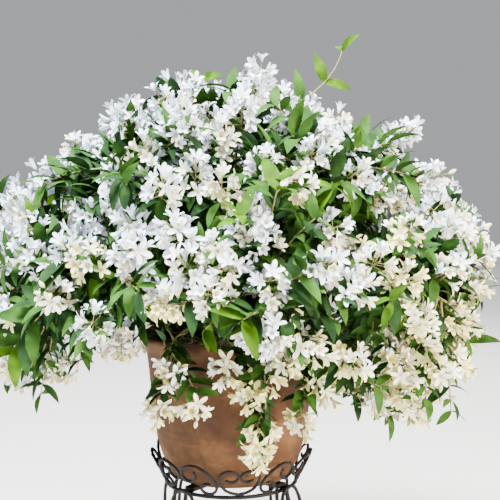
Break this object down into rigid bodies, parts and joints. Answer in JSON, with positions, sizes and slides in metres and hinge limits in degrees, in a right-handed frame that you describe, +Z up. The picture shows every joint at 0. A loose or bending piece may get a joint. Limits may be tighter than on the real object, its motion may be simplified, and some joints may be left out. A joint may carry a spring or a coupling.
{
  "type": "potted deutzia shrub",
  "caption": "White-flowering deutzia shrub with arching canes in a terracotta pot on a scrolled wrought iron plant stand.",
  "frame": {"origin": "on the floor, under the axis of the pot, at the middle of the bottom of the whole part's box", "axes": "+Z up along the axis of the pot; -Y towards the front, where the lowest blossom hangs; +X to the right seen from the front"},
  "size_m": [0.5899, 0.4721, 0.6706],
  "materials": {
    "wrought_iron": "black painted wrought iron, satin, slightly blue grey sheen",
    "terracotta": "unglazed terracotta with pale bloom and dark specks",
    "potting_soil": "damp dark potting compost of bark and peat",
    "bark": "peeling tan brown bark of slender canes",
    "deutzia_foliage": "white five-petalled blossom and matt green leaves"
  },
  "bodies": {
    "root": {"cane_hanging_1": "bark", "cane_hanging_2": "bark", "cane_hanging_3": "bark", "cane_hanging_4": "bark", "cane_hanging_5": "bark", "cane_hanging_6": "bark", "cane_outer_1": "bark", "cane_outer_2": "bark", "cane_outer_3": "bark", "cane_outer_4": "bark", "cane_outer_5": "bark", "cane_outer_6": "bark", "cane_outer_7": "bark", "cane_top": "bark", "cane_upper_1": "bark", "cane_upper_2": "bark", "cane_upper_3": "bark", "cane_upper_4": "bark", "gallery_heart_1": "wrought_iron", "gallery_heart_2": "wrought_iron", "gallery_heart_3": "wrought_iron", "gallery_heart_4": "wrought_iron", "gallery_scroll_left_1": "wrought_iron", "gallery_scroll_left_2": "wrought_iron", "gallery_scroll_left_3": "wrought_iron", "gallery_scroll_left_4": "wrought_iron", "gallery_scroll_right_1": "wrought_iron", "gallery_scroll_right_2": "wrought_iron", "gallery_scroll_right_3": "wrought_iron", "gallery_scroll_right_4": "wrought_iron", "leg_1": "wrought_iron", "leg_2": "wrought_iron", "leg_3": "wrought_iron", "leg_4": "wrought_iron", "mass_hanging_1": "deutzia_foliage", "mass_hanging_2": "deutzia_foliage", "mass_hanging_3": "deutzia_foliage", "mass_hanging_4": "deutzia_foliage", "mass_hanging_5": "deutzia_foliage", "mass_hanging_6": "deutzia_foliage", "mass_outer_1": "deutzia_foliage", "mass_outer_2": "deutzia_foliage", "mass_outer_3": "deutzia_foliage", "mass_outer_4": "deutzia_foliage", "mass_outer_5": "deutzia_foliage", "mass_outer_6": "deutzia_foliage", "mass_outer_7": "deutzia_foliage", "mass_top": "deutzia_foliage", "mass_upper_1": "deutzia_foliage", "mass_upper_2": "deutzia_foliage", "mass_upper_3": "deutzia_foliage", "mass_upper_4": "deutzia_foliage", "potting_soil": "potting_soil", "root_crown": "bark", "stand_ring": "wrought_iron", "terracotta_pot": "terracotta"}
  },
  "joints": []
}
